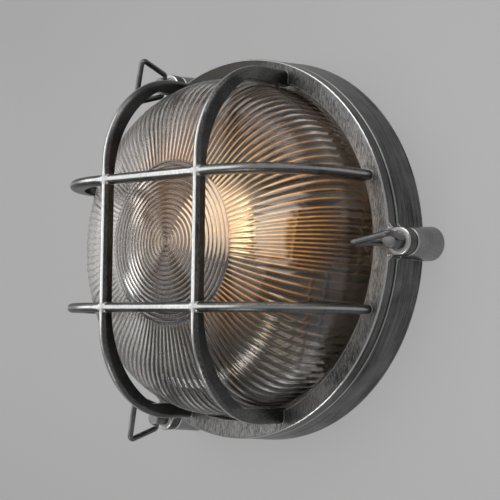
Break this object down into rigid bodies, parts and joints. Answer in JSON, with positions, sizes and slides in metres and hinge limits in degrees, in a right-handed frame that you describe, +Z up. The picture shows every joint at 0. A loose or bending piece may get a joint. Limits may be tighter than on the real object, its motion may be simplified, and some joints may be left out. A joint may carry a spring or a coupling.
{
  "type": "outdoor wall light",
  "caption": "Round caged bulkhead wall light: a cast base and cage ring clamp a ribbed glass dome with captive thumb screws and wire bails, over a sideways screw-cap lamp.",
  "frame": {"origin": "centre of the base's back face, where it lies on the wall", "axes": "+Y into the wall, -Y out of the wall to the front of the light, +Z up, +X to the right as seen from the front"},
  "size_m": [0.2594, 0.1077, 0.2453],
  "materials": {
    "cast_base": "worn pewter-coloured cast metal with fine brushing round the wall",
    "cast_cage": "worn pewter-coloured cast metal, brushed bright on the ring's face and the bars' ridges",
    "ribbed_glass": "clear pressed glass with smooth ribs",
    "gasket_rubber": "matt black rubber",
    "plated_steel": "zinc plate gone dull and dark",
    "steel_screws": "bright zinc plate",
    "porcelain": "white glazed porcelain",
    "lamp_brass": "plain stamped brass",
    "lit_lamp": "warm lit lamp bulb with a metal screw cap",
    "terminal_plastic": "off-white moulded plastic",
    "terminal_brass": "plain brass",
    "tinned_copper": "tinned copper",
    "earth_sleeve": "green and yellow wire sleeve",
    "live_sleeve": "brown wire sleeve",
    "neutral_sleeve": "blue wire sleeve",
    "screw_steel": "dark polished steel",
    "spring_steel": "phosphated spring steel",
    "wire_steel": "dark polished wire"
  },
  "bodies": {
    "light": {"base_housing": "cast_base", "cage_ring": "cast_cage", "glass_dome": "ribbed_glass", "base_gasket": "gasket_rubber", "front_gasket": "gasket_rubber", "lamp_bracket": "plated_steel", "bracket_screws": "steel_screws", "lampholder_body": "porcelain", "lampholder_shell": "lamp_brass", "centre_contact": "lamp_brass", "holder_screws": "steel_screws", "lamp": "lit_lamp", "terminal_block": "terminal_plastic", "terminal_screws": "steel_screws", "block_screw": "steel_screws", "cable_grommet": "gasket_rubber", "earth_screw": "terminal_brass", "earth_washer": "steel_screws", "earth_terminal": "tinned_copper", "earth_lead": "earth_sleeve", "live_lead": "live_sleeve", "neutral_lead": "neutral_sleeve"},
    "right_clip": {"retaining_ring_right": "spring_steel"},
    "right_screw": {"thumb_screw_right": "screw_steel"},
    "right_bail": {"bail_right": "wire_steel"},
    "upper_left_clip": {"retaining_ring_upper_left": "spring_steel"},
    "upper_left_screw": {"thumb_screw_upper_left": "screw_steel"},
    "upper_left_bail": {"bail_upper_left": "wire_steel"},
    "lower_left_clip": {"retaining_ring_lower_left": "spring_steel"},
    "lower_left_screw": {"thumb_screw_lower_left": "screw_steel"},
    "lower_left_bail": {"bail_lower_left": "wire_steel"}
  },
  "joints": [
    {"name": "right_screw_travel", "type": "slide", "parent": "light", "child": "right_clip", "axis": [0, -1, 0], "range_m": [0, 0.006]},
    {"name": "right_screw_turn", "type": "hinge", "parent": "right_clip", "child": "right_screw", "pos_m": [0.1248, -0.0303, 0], "axis": [0, -1, 0], "range_deg": [0, 2160]},
    {"name": "right_bail_fold", "type": "hinge", "parent": "right_screw", "child": "right_bail", "pos_m": [0.1248, -0.036, 0], "axis": [0.9848, 0, 0.1736], "range_deg": [-90, 90]},
    {"name": "upper_left_screw_travel", "type": "slide", "parent": "light", "child": "upper_left_clip", "axis": [0, -1, 0], "range_m": [0, 0.006]},
    {"name": "upper_left_screw_turn", "type": "hinge", "parent": "upper_left_clip", "child": "upper_left_screw", "pos_m": [-0.0624, -0.0303, 0.10808], "axis": [0, -1, 0], "range_deg": [0, 2160]},
    {"name": "upper_left_bail_fold", "type": "hinge", "parent": "upper_left_screw", "child": "upper_left_bail", "pos_m": [-0.0624, -0.036, 0.10808], "axis": [0.2079, 0, 0.9781], "range_deg": [-90, 50]},
    {"name": "lower_left_screw_travel", "type": "slide", "parent": "light", "child": "lower_left_clip", "axis": [0, -1, 0], "range_m": [0, 0.006]},
    {"name": "lower_left_screw_turn", "type": "hinge", "parent": "lower_left_clip", "child": "lower_left_screw", "pos_m": [-0.0624, -0.0303, -0.10808], "axis": [0, -1, 0], "range_deg": [0, 2160]},
    {"name": "lower_left_bail_fold", "type": "hinge", "parent": "lower_left_screw", "child": "lower_left_bail", "pos_m": [-0.0624, -0.036, -0.10808], "axis": [0.1736, 0, 0.9848], "range_deg": [-90, 50]}
  ],
  "couplings": [
    {"joint": "right_screw_travel", "follows": "right_screw_turn", "m_per_rad": 0.00015915},
    {"joint": "upper_left_screw_travel", "follows": "upper_left_screw_turn", "m_per_rad": 0.00015915},
    {"joint": "lower_left_screw_travel", "follows": "lower_left_screw_turn", "m_per_rad": 0.00015915}
  ]
}
